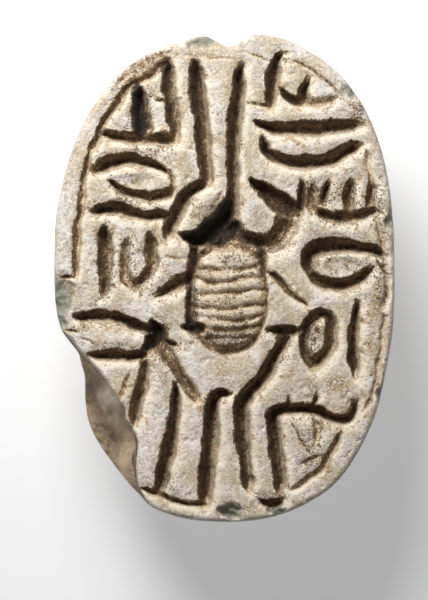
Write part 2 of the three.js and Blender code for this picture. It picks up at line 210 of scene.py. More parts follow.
# Bars, uprights and bows of the side fields; none of them is a sign.
fieldStrokes = [
    ([(-34, 90), (-32.8, 80), (-30.6, 69), (-28.5, 57.5)], (0.42, 0.5, 0.46, 0.34), 0.55),
    ([(-50, 79), (-49.5, 72), (-48.5, 66), (-47.5, 59.5)], (0.34, 0.56, 0.66, 0.74), 0.6, 1.4),
    ([(-71.5, 60.3), (-60, 59), (-45, 58), (-29, 57.5)], (0.34, 0.46, 0.5, 0.4), 0.5, 0.95),
    ([(-75.5, 45.5), (-67, 48.5), (-56, 49.5), (-44, 48), (-33, 44)], (0.54, 0.5, 0.44, 0.34, 0.24), 0.6),
    ([(-67.5, 40.5), (-59, 36.5), (-47, 34), (-36, 34.8), (-30, 37.5)],
     (0.24, 0.36, 0.4, 0.4, 0.34), 0.5, 0.9),
    ([(-32, 45), (-31, 41), (-31.5, 37)], 0.2, 0.3, 0.8),
    ([(-78, 27.8), (-67, 29.5), (-56, 28), (-44, 26.3), (-33, 26.5)], (0.36, 0.5, 0.42, 0.38, 0.34), 0.55),
    ([(-71, 21), (-70.5, 12), (-70.6, 1.5), (-72.5, -7.5)], (0.44, 0.52, 0.48, 0.24), 0.6, 0.9),
    ([(-58, 17), (-60, 8.5), (-58.5, 1.5), (-54, -3), (-49, -1.5)], (0.34, 0.44, 0.4, 0.4, 0.3), 0.4, 0.62),
    ([(-53.5, -2), (-48, 0.5), (-43.5, 7), (-43, 14), (-45, 19)], (0.3, 0.36, 0.48, 0.46, 0.36), 0.5, 0.82),
    ([(-88, -15.6), (-76, -15.3), (-65, -15.5), (-56, -17.6), (-44, -21.5)],
     (0.4, 0.48, 0.4, 0.4, 0.4), 0.52),
    ([(-80, -31), (-65, -31), (-46, -31)], (0.34, 0.42, 0.36), 0.5),
    ([(-46, -21), (-45, -26), (-46.5, -31)], (0.3, 0.24, 0.24), 0.4, 0.8),
    ([(-47.5, -33), (-49, -43), (-52, -53), (-54, -60)], (0.3, 0.42, 0.46, 0.4), 0.55, 0.84),
    ([(33.2, 94), (29.7, 88), (27.4, 81.5), (27, 72)], (0.2, 0.42, 0.52, 0.46), 0.62),
    ([(33.5, 78), (38.5, 74.7), (45, 72.6)], (0.24, 0.42, 0.5), 0.5, 0.95),
    ([(48.5, 83), (46.5, 78), (45, 72.6)], (0.16, 0.36, 0.54), 0.55),
    ([(47, 72.3), (56, 73), (65, 75)], (0.4, 0.4, 0.2), 0.26, 0.62),
    ([(18, 65), (25, 62.8), (36, 61.8), (48, 62), (62, 62.7), (78, 64)],
     (0.3, 0.46, 0.5, 0.5, 0.48, 0.4), 0.6),
    ([(22.5, 58), (26, 52), (34, 49.5), (45, 48.3), (57, 48.8), (68, 51), (79, 56)],
     (0.34, 0.46, 0.52, 0.5, 0.4), 0.65),
    ([(16, 41), (22, 37.5), (28, 33.7), (35, 30), (41, 26)], (0.3, 0.48, 0.68, 0.84, 0.76), 0.85),
    ([(45.5, 41), (45, 35), (43.5, 26.5)], (0.3, 0.36, 0.46), 0.5, 0.9),
    ([(51, 39), (51, 33), (51.5, 28)], (0.4, 0.56, 0.6), 0.34, 0.7),
    ([(61.5, 41), (58.5, 37), (57, 31)], (0.22, 0.36, 0.3), 0.45, 0.9),
    ([(74, 41.5), (72.5, 34.5), (73, 28)], (0.26, 0.4, 0.42), 0.45, 0.82),
    ([(86, 41), (86, 35), (83, 30)], (0.34, 0.36, 0.3), 0.4, 0.8),
    ([(54, 29), (60, 26.5), (71, 25.7), (80, 27), (89, 28.3)], (0.4, 0.5, 0.46, 0.38, 0.2), 0.5, 0.95),
    ([(50.5, 2.5), (48.5, 8), (52, 12), (60, 14), (71, 14.4), (82.5, 12.7), (94, 10.5)],
     (0.46, 0.6, 0.56, 0.48, 0.3), 0.66),
    ([(50, 4.5), (54.5, 0), (63, -2), (71.5, -1.6), (79, 0.8), (86, 5.3)],
     (0.36, 0.46, 0.5, 0.4, 0.22), 0.56),
    ([(51.5, -35.5), (47, -30), (46.5, -23), (50, -16.5), (57, -13.6), (62, -17), (62.4, -23), (60, -29),
      (51.5, -35.5)], (0.44, 0.34, 0.32, 0.38, 0.46, 0.5, 0.5), 0.52, 0.9),
    ([(78, -8), (77, -15), (75.5, -23), (75.5, -31), (76.8, -39.5)], (0.2, 0.34, 0.36, 0.44, 0.4), 0.6),
    ([(26, 3.5), (33, -1.5), (40, -6), (48, -11)], (0.22, 0.3, 0.26, 0.14), 0.34, 0.85),
    ([(-24, -20), (-12, -21.5)], (0.46, 0.56), 0.55, 1.3),
]

fineNicks = [
    ([(13, 72.5), (20, 72.5), (27, 72.5)], 0.14, 0.16),
    ([(37, -48), (37.5, -53)], 0.2, 0.3),
    ([(54, -46), (50.5, -52)], (0.1, 0.24), 0.3),
    ([(52, -57), (54, -62), (52, -68)], (0.3, 0.36, 0.2), 0.24, 0.6),
    ([(-38, 9), (-20, 9)], 0.1, 0.08, 0.7),
    ([(-97, 1), (-89, 1)], 0.16, 0.22),
    ([(38.5, -58), (45, -66), (50, -72)], 0.1, 0.1),
    ([(88, 9), (93, 4), (97, 2)], 0.14, 0.14),
    ([(-40, 73.5), (-36, 73.6)], 0.16, 0.24),
    ([(-94, -20), (-88, -21)], 0.12, 0.12),
    ([(42, -75.5), (50, -74), (57, -72)], (0.2, 0.36, 0.16), 0.12, 0.8),
    ([(-27, 93), (-10, 92), (6, 90.5), (14, 88)], 0.08, 0.05, 0.75),
    ([(10, 94), (20, 92), (28, 89.5)], (0.06, 0.14, 0.06), 0.06, 0.8),
    ([(-14, 85), (-9, 84), (-4, 86)], 0.07, 0.05, 0.75),
    ([(4, 60), (7, 56)], 0.1, 0.05, 0.6),
    ([(73, -20), (79, -24), (81, -30)], 0.07, 0.05, 0.6),
    ([(40, 54), (44, 57)], 0.08, 0.06, 0.7),
    ([(-86, -24), (-80, -25), (-75, -27)], 0.08, 0.05, 0.7),
    ([(24, -10), (30, -14)], 0.07, 0.05, 0.6),
    ([(-56, -38), (-60, -46), (-64, -50)], (0.1, 0.3, 0.2), 0.1, 0.7),
]

# Oval hollows: middle x and y, half sizes in percent, turn in degrees, depth, softness of the rim.
hollows = [
    (-4, 27, 12, 7, 0, 0.3, 1.0), (-53, 41, 21, 5.2, 0, 0.15, 0.9), (68, 6, 17, 5.4, 0, 0.17, 0.8),
    (53.5, -24, 6, 9, 0, 0.16, 0.9), (-52, 7, 8, 10, 0, 0.12, 0.9), (-42, 65, 12, 7, 0, 0.14, 0.9),
    (73, 76, 9, 6, -45, 0.24, 0.9), (62, 34, 24, 8, 0, 0.1, 0.9), (27, 25, 10, 9, 0, 0.06, 1.0),
    (3, -94, 8, 3, 0, 0.3, 1.0), (25, -92, 8, 2.6, 0, 0.35, 0.9),
]

# The figure's striped oval body, rounded and level with the face at its crown, and its stripes' levels.
# A range is where a value sets in and where it is full, in shares of the oval's radius unless noted.
stripedBody = {
    "middle": (1.2, -7.4),
    "half": (23.4, 23.2),
    "squareness": (2.7, 2.3),  # exponents of the oval's upper and lower half
    "crownDepth": 0.07,
    "crownFall": 0.2,
    "edgeDepth": 0.5,
    "edgeRange": (0.74, 0.93),
    "rim": (1.04, 0.07),  # where the body ends, and how softly
    "stripes": [4.4, -0.3, -5.4, -11.6, -16.2, -20.2, -23.8],
    "stripeWidth": 0.14,
    "stripeDepth": 0.16,
    "stripeWall": (-0.1, 0.06),  # mm inside a stripe's edge
    "stripeEnd": (0.95, 0.08),
    "stripeBow": 2.2,
    "stripeTilt": 0.35,
    "waveHeight": 0.03,
    "waveTurns": 5,
    "wearStretch": 3,  # worn places are this much longer than high
    "wearRange": (-1.3, 0.1),  # in the wear field's own values
    "channelRange": (0.84, 0.93),
    "channelSoil": 0.8,
    "stripeSoil": 0.76,
    "wallShare": 0.35,
}

# The missing flake at the lower left: its upper edge in percent, then drops, in mm, and the ranges outside
# that edge, in mm, over which they come.
breakage = {
    "edge": [(-101, -19), (-94, -21.5), (-85, -29), (-76, -36), (-69, -42), (-63, -47), (-58, -53),
             (-57, -58), (-53, -62), (-50, -67), (-51.5, -78), (-50, -85), (-45, -92), (-43, -104)],
    "edgeRange": (-0.05, 0.12),
    "edgeRough": 0.06,
    "edgeLost": 0.6,  # share of the face's edge rounding that went with the flake
    "steepDrop": 1.2,
    "steepRange": (-0.04, 0.22),
    "slopeDrop": 2.1,  # the gentler part of the fall further out
    "slopeRange": (0.05, 1.3),
    "slopePower": 0.8,
    "floorRough": 0.16,
    "ledge": (-67, -50, 9, 8),  # a step left standing on the slope: middle and half sizes in percent
    "ledgeHeight": 0.6,
    "pull": 0.02,  # share by which the broken plate's edge lies inside the outline
    "pullPower": 7,
    "bite": (202, 9, 0.095),  # and its deepest place: middle and width in degrees, more of that share
    "backInset": 0.25,  # and how much of the wing case went with it
    "turns": (199.0, 240.0),
    "turnSoft": 9.0,
    "sideRange": (0.1, 0.6),  # share of the break at which the side turns into its slope
}

# Small chips: middle x and y, half sizes in percent, depth.
chips = [
    (-96, -8, 7, 9.5, 0.36), (-97, -17, 6, 5, 0.36), (-12, 98, 9, 2.4, 0.3), (30, -95, 7, 2.5, 0.3),
    (3, -96, 9, 3, 0.4), (76, 77, 3, 2, 0.3), (97, 24, 3, 5, 0.2), (92, -48, 4, 5, 0.22),
]

# Where soil is peppered over the surface, where the spot at (-12, 26) paints shade on the left lobe's lower
# right, and where the spot at (4, -24) darkens the striped body's lower third: middle x and y, half sizes in
# percent, strength.
grimeAndShadeSpots = [
    (-46, 87, 18, 5, 1.0), (-60, 78, 10, 5, 0.8), (-50, 70, 12, 11, 0.8), (-38, 73, 5, 3, 0.5),
    (-55, 52, 26, 3, 0.7), (-52, 38, 22, 7, 0.6), (-60, 30, 24, 4, 0.7), (-70, 5, 10, 22, 0.55),
    (-50, 6, 14, 16, 0.75), (-12, 26, 12, 9, 0.7), (2, -8, 22, 24, 0.62), (4, -24, 20, 8, 1.5),
    (-18, -12, 4, 16, 1.2), (6, 8, 12, 4, 1.0), (26, 14, 16, 5, 0.7), (78, 70, 8, 8, 1.0),
    (58, 74, 12, 4, 0.7), (62, 32, 28, 9, 0.6), (92, 5, 6, 40, 0.6), (68, 4, 20, 7, 0.55),
    (52, -24, 10, 12, 0.6), (-70, -14, 22, 3, 0.7), (-66, -28, 22, 3, 0.8), (-32, -34, 12, 10, 0.6),
    (-38, -24, 8, 8, 0.8), (14, -60, 60, 8, 0.25), (-10, -52, 10, 7, 0.5), (47, -76, 9, 3, 1.0),
    (52, -64, 10, 10, 0.4), (28, -90, 12, 5, 0.8), (2, -94, 14, 4, 0.9), (-30, -84, 12, 6, 0.5),
    (60, -44, 14, 6, 0.4), (88, -35, 7, 20, 0.45), (-88, -30, 10, 12, 0.5), (-12, 96, 12, 3, 0.6),
]

# Where the stone shows tan instead of grey: middle x and y, half sizes in percent, strength.
tanSpots = [
    (2, -8, 22, 24, 1.2), (-36, 60, 6, 3, 1.0), (-50, 1, 12, 6, 0.7), (52, 72, 12, 3, 0.8),
    (52, 32, 8, 8, 0.7), (68, 6, 16, 6, 0.4), (50, -31, 10, 5, 0.5), (72, 40, 18, 6, 0.4),
    (84, 44, 8, 14, 0.5), (-24, -47, 8, 4, 0.6), (0, 94, 30, 4, 0.35), (76, -42, 5, 4, 0.7),
    (90, -20, 6, 30, 0.8), (58, -50, 34, 22, 0.5), (-5, -37, 12, 7, 0.5), (37, -42, 13, 9, 0.65),
]

# Cells of the face's grid over its width and length; the back's grid has half as many each way.
gridCells = (212, 304)
backCells = (gridCells[0] // 2, gridCells[1] // 2)


# Cubic step from 0 to 1: 3t2 - 2t3 of the share between low and high.
def step(value, low, high):
    share = np.clip((value - low) / (high - low), 0, 1)
    return share * share * (3 - 2 * share)


# Random field between -1 and 1: random values on a cubic lattice, blended along each axis by 3t2 - 2t3.
def latticeNoise(points, spacing, seed):
    size = 32
    origin = 64.0
    lattice = np.random.default_rng(seed).uniform(-1, 1, (size, size, size))
    place = points / spacing + origin
    cell = np.floor(place).astype(int)
    share = place - cell
    share = share * share * (3 - 2 * share)
    total = np.zeros(len(points))
    for corner in itertools.product((0, 1), repeat=3):
        weight = np.ones(len(points))
        for axis in range(3):
            weight *= share[:, axis] if corner[axis] else 1 - share[:, axis]
        index = [(cell[:, axis] + corner[axis]) % size for axis in range(3)]
        total += weight * lattice[index[0], index[1], index[2]]
    return total


# Sum of lattice fields, each half as wide and half as strong as the one before.
def layeredNoise(points, spacing, seed, layers=3):
    return sum(latticeNoise(points, spacing / 2 ** k, seed + k) / 2 ** k for k in range(layers))


# One of the named random fields: its strength times its layered noise.
def fieldAt(points, name):
    strength, *pattern = fields[name]
    return strength * layeredNoise(points, *pattern)


# Face points as places in the plane z = 0, for the random fields.
def flatPoints(x, y):
    return np.stack([x, y, np.zeros_like(x)], axis=1)


# Smooth curve through the points: a Catmull-Rom cubic between each pair, sampled evenly in its parameter.
def smoothPath(points, perSpan=6):
    p = np.array(points, float)
    if len(p) == 2:
        share = np.linspace(0, 1, perSpan * 2)[:, None]
        return p[0] * (1 - share) + p[1] * share
    padded = np.vstack([2 * p[0] - p[1], p, 2 * p[-1] - p[-2]])
    t = (np.arange(perSpan) / perSpan)[:, None]
    spans = []
    for a, b, c, d in zip(padded, padded[1:], padded[2:], padded[3:]):
        spans.append(0.5 * (2 * b + (c - a) * t + (2 * a - 5 * b + 4 * c - d) * t ** 2
                            + (3 * b - a - 3 * c + d) * t ** 3))
    return np.vstack(spans + [p[-1:]])


# Percent of the half sizes to millimetres.
def onFace(points):
    return np.array(points, float) / 100 * np.array([halfWidth, halfLength])


# Each point's distance from a path, how far along its nearest place lies, its side (1 on the right of the
# path, -1 on the left), and the path's length, by projection on each of its straight spans.
def nearestOnPath(x, y, path):
    best = np.full(x.shape, 1e9)
    along, side = np.zeros((2,) + x.shape)
    start = 0.0
    for (ax, ay), (bx, by) in zip(path, path[1:]):
        length = math.hypot(bx - ax, by - ay) + 1e-9
        share = np.clip(((x - ax) * (bx - ax) + (y - ay) * (by - ay)) / length ** 2, 0, 1)
        distance = np.hypot(x - ax - share * (bx - ax), y - ay - share * (by - ay))
        cross = (bx - ax) * (y - ay) - (by - ay) * (x - ax)
        nearer = distance < best - 1e-9
        best[nearer] = distance[nearer]
        along[nearer] = start + share[nearer] * length
        side[nearer] = np.where(cross[nearer] < 0, 1, -1)
        start += length
    return best, along, side, start


# One groove's depth, full inside half its local width, rising over the wall's run, less at both ends unless
# it closes on itself, with a worn shoulder outside; and the shares of its soiled floor and of its walls.
# A lean moves it by that share of its mean width.
def grooveCut(x, y, stroke, lean=(0.0, 0.0)):
    own = carving
    points, widths, depth = stroke[:3]
    soilAndShade = stroke[3] if len(stroke) > 3 else 1.0
    widths = np.atleast_1d(widths)
    path = smoothPath(onFace(points)) + np.array(lean) * widths.mean()
    reach = widths.max() + own["shoulderRun"]
    near = ((x > path[:, 0].min() - reach) & (x < path[:, 0].max() + reach)
            & (y > path[:, 1].min() - reach) & (y < path[:, 1].max() + reach))
    distance, along, side, length = nearestOnPath(x[near], y[near], path)
    width = np.interp(along / length, np.linspace(0, 1, len(widths)), widths)
    fromEnd = np.minimum(along, length - along)
    size = own["endShare"] + (1 - own["endShare"]) * step(fromEnd, 0, own["endRun"])
    if points[0] == points[-1]:
        size = np.ones_like(fromEnd)
    inside = width / 2 * size - distance
    wall = np.minimum(own["wallRun"], own["wallLimit"] * width)
    wallStart, wallEnd, soilEnd = own["wallReach"]
    strong = np.minimum(1, depth / own["strongDepth"])
    shoulder = step(inside, -own["shoulderRun"] * strong, wall)
    halo = own["haloShare"] * step(inside, -own["soilHalo"], 0) * strong
    bed = (1 - own["haloShare"]) * step(inside, wallStart * wall, soilEnd * wall)
    cut, floorShare, wallShare = np.zeros((3,) + x.shape)
    cut[near] = depth * size * step(inside, wallStart * wall, wallEnd * wall)
    cut[near] += own["shoulderDrop"] * strong * shoulder
    floorShare[near] = soilAndShade * (halo + bed)
    wallShare[near] = strong * shoulder
    return cut, floorShare, wallShare


# Distance from an oval's middle in shares of its half sizes, with the oval turned anticlockwise.
def ovalRadius(x, y, middleX, middleY, halfX, halfY, turn=0.0):
    centre = onFace((middleX, middleY))
    c, s = math.cos(math.radians(turn)), math.sin(math.radians(turn))
    u = ((x - centre[0]) * c + (y - centre[1]) * s) / (halfX / 100 * halfWidth)
    v = ((y - centre[1]) * c - (x - centre[0]) * s) / (halfY / 100 * halfLength)
    return np.hypot(u, v)


# Depth of an oval hollow: full in the middle, rising to its rim over the soft share of its radius.
def hollowDepth(x, y, hollow):
    *oval, depth, soft = hollow
    return depth * step(1 - ovalRadius(x, y, *oval), 0, soft)


# Share of an oval spot: 1 in its middle, falling by a cubic step to 0 at the rim, a little outside the oval.
def spotShare(x, y, *oval):
    rim, soft = 1.25, 0.9
    return step(rim - ovalRadius(x, y, *oval), 0, soft)


# The strongest of a list of oval spots at each point.
def spotsShare(x, y, spots):
    total = np.zeros_like(x)
    for *oval, strength in spots:
        total = np.maximum(total, strength * spotShare(x, y, *oval))
    return total


# The striped body, a squared oval: the depth of its crown, which grows as the cube of the radius, or of the
# channel round its edge, plus its stripes where they aren't worn away; and its shares of floor and wall.
def stripedBodyCut(x, y):
    own = stripedBody
    middle, half = onFace(own["middle"]), onFace(own["half"])
    u = (x - middle[0]) / half[0]
    v = (y - middle[1]) / half[1]
    power = np.where(v > 0, *own["squareness"])
    r = (np.abs(u) ** power + np.abs(v) ** power) ** (1 / power)
    crown = own["crownDepth"] + own["crownFall"] * r ** 3
    depth = np.maximum(crown, own["edgeDepth"] * step(r, *own["edgeRange"]))
    bow = onFace((0, own["stripeBow"]))[1]
    stripeEnd, endSoft = own["stripeEnd"]
    ends = step(stripeEnd - r, 0, endSoft)
    lines = np.zeros_like(x)
    for level in own["stripes"]:
        line = onFace((0, level))[1] + bow * (u ** 2 + own["stripeTilt"] * u)
        line = line + own["waveHeight"] * np.sin(own["waveTurns"] * u + level)
        inside = own["stripeWidth"] / 2 - np.abs(y - line)
        lines = np.maximum(lines, step(inside, *own["stripeWall"]) * ends)
    wear = fieldAt(flatPoints(x, y * own["wearStretch"]), "stripeWear")
    lines = lines * step(wear, *own["wearRange"])
    depth = depth + own["stripeDepth"] * lines
    rim, rimSoft = own["rim"]
    within = step(rim - r, 0, rimSoft)
    channel = step(r, *own["channelRange"]) * within
    floorShare = np.maximum(own["channelSoil"] * channel, own["stripeSoil"] * lines)
    return depth * within, floorShare, own["wallShare"] * within


# How far outside the break's upper edge a point lies, in mm; negative on the part that is left.
def outsideBreak(x, y):
    distance, along, side, length = nearestOnPath(x, y, onFace(breakage["edge"]))
    return distance * side


# All the carving at a face point, with wobbling edges: the deeper of its deepest groove and deepest hollow
# plus a share of the other, and the shares of floor and wall there. A lean moves the grooves.
def faceCarving(x, y, lean=(0.0, 0.0)):
    flat = flatPoints(x, y)
    wx = x - carving["shift"][0] + fieldAt(flat, "wobbleX")
    wy = y - carving["shift"][1] + fieldAt(flat, "wobbleY")
    strokes = frameLines + figureLimbs + fieldStrokes + fineNicks
    parts = [grooveCut(wx, wy, stroke, lean) for stroke in strokes] + [stripedBodyCut(wx, wy)]
    cut, floorShare, wallShare = [np.max(kind, axis=0) for kind in zip(*parts)]
    hollow = np.max([hollowDepth(wx, wy, one) for one in hollows], axis=0)
    cut = np.maximum(cut, hollow) + carving["crossing"] * np.minimum(cut, hollow)
    return cut, floorShare, wallShare


# Exponent of the squared oval at a turn: each quarter's own, mixed by cubic steps near the axes.
def exponentAt(turn):
    quarters, blend = outline["exponents"], outline["blend"]
    degrees = np.degrees(turn) % 360
    value = np.full(turn.shape, float(quarters[0]))
    for k, following in ((90, 1), (180, 2), (270, 3)):
        share = step(degrees, k - blend, k + blend)
        value = value * (1 - share) + quarters[following] * share
    share = step(degrees, 360 - blend, 360 + blend) + (1 - step(degrees, -blend, blend))
    return value * (1 - share) + share * (quarters[3] + quarters[0]) / 2


# Bell curve over an angle in degrees, going round at 360: e to the minus square of distance over width.
def angleBell(turn, middle, width):
    away = (np.degrees(turn) - middle + 180) % 360 - 180
    return np.exp(-(away / width) ** 2)


# Share from 0 to 1 of a turn that lies in the broken stretch, with a cubic step at both its ends.
def brokenShare(turn):
    low, high = breakage["turns"]
    degrees = np.degrees(turn) % 360
    soft = breakage["turnSoft"]
    return step(degrees, low - soft, low + soft) * (1 - step(degrees, high - soft, high + soft))


# Share of the outline that is left at a turn: 1 less the pull over the broken stretch and the bite's bell.
def keptShare(turn):
    middle, width, bite = breakage["bite"]
    return 1 - breakage["pull"] * brokenShare(turn) - bite * angleBell(turn, middle, width)


# Outline point at a turn, drawn in by inset: half sizes times cos and sin, over the length of the
# direction in the squared oval's measure, plus swellings and notch along the direction.
def outlinePoint(turn, inset=0.0, detail=1.0):
    n = exponentAt(turn)
    c, s = np.cos(turn), np.sin(turn)
    share = (np.abs(c) ** n + np.abs(s) ** n) ** (-1 / n)
    extra = sum(height * angleBell(turn, middle, width) for middle, width, height in outline["swellings"])
    notchMiddle, notchWidth, notchDepth = outline["notch"]
    extra = extra - notchDepth * angleBell(turn, notchMiddle, notchWidth)
    x = (halfWidth - inset) * c * share + detail * extra * c
    y = (halfLength - inset) * s * share + detail * extra * s
    return x, y


# A square grid bent onto the unit disc: x = s times root(1 - t2/2), y = t times root(1 - s2/2).
def discGrid(cellsX, cellsY):
    s, t = np.meshgrid(np.linspace(-1, 1, cellsX + 1), np.linspace(-1, 1, cellsY + 1), indexing="ij")
    return (s * np.sqrt(1 - t * t / 2)).ravel(), (t * np.sqrt(1 - s * s / 2)).ravel()


# Point numbers of a grid's rim, anticlockwise from the corner with the highest x and lowest y.
def gridRim(cellsX, cellsY):
    number = np.arange((cellsX + 1) * (cellsY + 1)).reshape(cellsX + 1, cellsY + 1)
    return np.concatenate([number[-1, :-1], number[:0:-1, -1], number[0, :0:-1], number[:-1, 0]])


# One four-cornered face for each cell of a grid, looking up, or down for the back.
def gridFaces(cellsX, cellsY, start=0, faceUp=True):
    number = start + np.arange((cellsX + 1) * (cellsY + 1)).reshape(cellsX + 1, cellsY + 1)
    corners = [number[:-1, :-1], number[1:, :-1], number[1:, 1:], number[:-1, 1:]]
    quads = np.stack(corners, axis=-1).reshape(-1, 4)
    return quads if faceUp else quads[:, ::-1]


# The seal face: the disc grid carried to the outline, whose swellings and break come in as powers of the
# radius; the edge drops by a quarter circle, run times (1 - root(1 - share2)).
def sealFace():
    u, v = discGrid(*gridCells)
    radius = np.hypot(u, v)
    turn = np.arctan2(v, u)
    rimX, rimY = outlinePoint(turn)
    plainX, plainY = outlinePoint(turn, 0.0, 0.0)
    pull = 1 - (1 - keptShare(turn)) * radius ** breakage["pullPower"]
    inner = np.maximum(radius, 1e-6)
    detail = radius ** outline["swellingPower"]
    x = inner * pull * (plainX * (1 - detail) + rimX * detail)
    y = inner * pull * (plainY * (1 - detail) + rimY * detail)
    toEdge = (1 - radius) * np.hypot(rimX, rimY)
    share = np.clip(1 - toEdge / body["faceEdge"], 0, 0.999)
    edgeDrop = body["faceEdge"] * (1 - np.sqrt(1 - share ** 2))
    return shapeFace(x, y, edgeDrop)


# Level of the face: its height less the carving, the chips, the fall of the break, the rounded edge and the
# pits, with slight waves. The break falls by two cubic steps, a steep one at its edge and a gentle one.
def shapeFace(x, y, edgeDrop):
    own = breakage
    flat = flatPoints(x, y)
    cut = faceCarving(x, y)[0]
    rough = fieldAt(flat, "rough")
    beyond = outsideBreak(x + own["edgeRough"] * rough, y + fieldAt(flat, "breakEdge"))
    broken = step(beyond, *own["edgeRange"])
    fall = own["steepDrop"] * step(beyond, *own["steepRange"])
    fall = fall + own["slopeDrop"] * step(beyond, *own["slopeRange"]) ** own["slopePower"]
    ragged = skin["raggedRim"] * rough
    ledge = own["ledgeHeight"] * spotShare(x + ragged, y + ragged, *own["ledge"])
    fall = fall + broken * (own["floorRough"] * rough - ledge)
    chipDepth = spotsShare(x + ragged, y + ragged, chips) * (1 + skin["raggedDepth"] * rough)
    waves = np.minimum(fieldAt(flat, "waves") + fieldAt(flat, "ripples"), skin["highest"])
    pits = skin["pitDepth"] * step(fieldAt(flat, "pits"), *skin["pitRange"])
    edgeDrop = edgeDrop * (1 - broken * own["edgeLost"])
    drop = np.maximum(cut, chipDepth) * (1 - broken) + fall + edgeDrop + pits
    return np.stack([x, y, sealHeight - skin["below"] - drop + waves], axis=1)


# Side below the face: rows down a profile of level and inset, with the legs standing out of the band; where
# the plate is broken they give way to one rough slope from the edge that is left to the wing cases.
def sideRows(turn, edgePoints):
    kept = keptShare(turn)
    plateLoss, underDetail, bandDetail, caseDetail = body["details"]
    underDrop, underFall = body["underDrop"]
    bandDrop, bandFall = body["bandDrop"]
    edgeLevel = edgePoints[:, 2]
    under = np.minimum(body["underside"] + body["thinnest"], edgeLevel - body["thinnest"])
    rows = []
    for k in range(1, body["plateRows"] + 1):
        share = k / body["plateRows"]
        bulge = body["plateBulge"] * math.sin(math.pi * share)
        x, y = outlinePoint(turn, -bulge, 1 - plateLoss * share)
        rows.append((x * kept, y * kept, edgeLevel + (under - edgeLevel) * share))
    for inset, level in body["underRows"]:
        x, y = outlinePoint(turn, np.maximum(inset, (1 - kept) * halfWidth), underDetail)
        rows.append((x, y, np.minimum(level, under - underDrop - underFall * inset)))
    for k in range(body["bandRows"] + 1):
        share = k / body["bandRows"]
        level = body["bandTop"] + (body["bandBottom"] - body["bandTop"]) * share
        level = np.minimum(level, under - bandDrop - bandFall * share)
        x, y = outlinePoint(turn, body["bandInset"] - body["legRelief"] * legShare(turn, share), bandDetail)
        rows.append((x, y, level))
    for inset, level in body["caseRows"]:
        x, y = outlinePoint(turn, inset - body["caseRelief"] * legShare(turn, 1.0), caseDetail)
        rows.append((x, y, np.full(turn.shape, level)))
    caseX, caseY = outlinePoint(turn, body["backInset"] + breakage["backInset"], caseDetail)
    caseEdge = np.stack([caseX, caseY, np.full(turn.shape, body["backLevel"])], axis=1)
    broken = step(brokenShare(turn), *breakage["sideRange"])[:, None]
    finished = []
    for number, row in enumerate(rows):
        share = (number + 1) / (len(rows) + 1)
        slope = edgePoints * (1 - share) + caseEdge * share
        slope = slope + (fieldAt(slope, "slope") * math.sin(math.pi * share))[:, None]
        finished.append(np.stack(row, axis=1) * (1 - broken) + slope * broken)
    return finished


# Share from 0 to 1 of a leg at a turn and at a share of the band's height, on either side: a cubic step of
# the distance in degrees from the leg's middle.
def legShare(turn, share):
    degrees = np.degrees(turn)
    folded = np.where(np.cos(turn) >= 0, degrees, 180 - degrees)
    folded = (folded + 180) % 360 - 180
    total = np.zeros(turn.shape)
    for top, bottom in body["legs"]:
        inside = body["legHalfWidth"] - np.abs(folded - top - (bottom - top) * share)
        total = np.maximum(total, step(inside, *body["legSoft"]))
    return total


# The back: the disc grid with its inner share on the flat spot and the rest up a quarter oval to the wing
# cases' edge; the lines are pressed in towards the middle of the body, fainter on the worn flat spot.
def beetleBack():
    u, v = discGrid(*backCells)
    radius = np.hypot(u, v)
    turn = np.arctan2(v, u)
    rest = body["restShare"]
    inner = np.minimum(radius / rest, 1)
    angle = np.clip((radius - rest) / (1 - rest), 0, 1) * math.pi / 2
    lost = breakage["backInset"] * brokenShare(turn)
    edgeX, edgeY = outlinePoint(turn, body["backInset"] + lost, body["details"][3])
    restX = body["restHalfWidth"] * np.cos(turn) * body["restSpread"]
    restY = body["restHalfLength"] * np.sin(turn) * body["restSpread"]
    bulge = np.sin(angle)
    x = restX * inner + (edgeX - restX) * bulge
    y = restY * inner + (edgeY - restY) * bulge
    level = body["backLevel"] * (1 - np.cos(angle))
    points = np.stack([x, y, level], axis=1)
    inward = -points / np.array([halfWidth, halfLength, body["backLevel"]]) ** 2
    inward[:, 2] = (body["backLevel"] - level) / body["backLevel"] ** 2 + 1e-4
    inward /= np.linalg.norm(inward, axis=1)[:, None]
    endSize, endRun = 0.4, 0.5
    wallStart, wallEnd = -0.1, 0.3
    cut = np.zeros(len(x))
    for line, width, depth in backLines:
        path = smoothPath(np.array(line) * np.array([halfWidth, halfLength]))
        distance, along, side, length = nearestOnPath(x, y, path)
        size = endSize + (1 - endSize) * step(np.minimum(along, length - along), 0, endRun)
        inside = width / 2 * size - distance
        cut = np.maximum(cut, depth * size * step(inside, wallStart, width * wallEnd))
    offRest = step(radius, rest * 0.9, rest * 1.5)
    restWear, lowest, rimShare = 0.5, -0.02, 0.03
    rough = fieldAt(points, "backWaves") + fieldAt(points, "backGrit")
    cut = cut * (1 - restWear * (1 - offRest)) + np.maximum(rough, lowest) * offRest
    atRim = step(1 - radius, 0, rimShare)
    return points + inward * (cut * atRim)[:, None]


